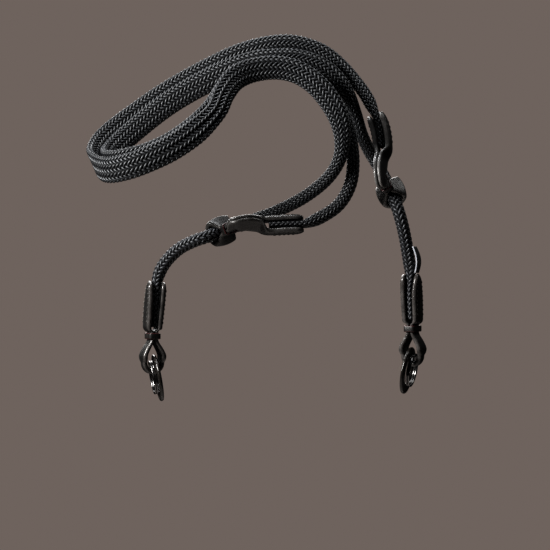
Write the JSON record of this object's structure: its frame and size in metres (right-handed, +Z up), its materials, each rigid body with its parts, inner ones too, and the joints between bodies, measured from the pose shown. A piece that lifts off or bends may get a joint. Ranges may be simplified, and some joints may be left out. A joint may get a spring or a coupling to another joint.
{
  "type": "camera strap",
  "caption": "Double braided rope camera strap in its hanging form, with leather sliders, leather cord ends, split rings and round leather guards.",
  "frame": {"origin": "under the neck band at the top of the arch, where the strap hangs on a neck or a hook", "axes": "+Z up along the hanging strap, -Y to the side that faces the picture's viewer, +X to the right as seen from there"},
  "size_m": [0.1855, 0.0626, 0.2008],
  "materials": {
    "cord": "braided, satin",
    "leather": "fine grain, semi-gloss",
    "keeper": "dark red painted edge",
    "metal": "dark plated wire",
    "tag": "smooth, with a light edge"
  },
  "bodies": {
    "root": {"neck_cord_outer": "cord", "neck_cord_inner": "cord", "left_end_leather": "leather", "left_end_keeper": "keeper", "left_split_ring": "metal", "left_guard": "leather", "left_slider_leather": "leather", "left_slider_keeper": "keeper", "right_end_leather": "leather", "right_end_keeper": "keeper", "right_split_ring": "metal", "right_guard": "leather", "right_slider_leather": "leather", "right_slider_keeper": "keeper", "right_end_tag": "tag"}
  },
  "joints": []
}
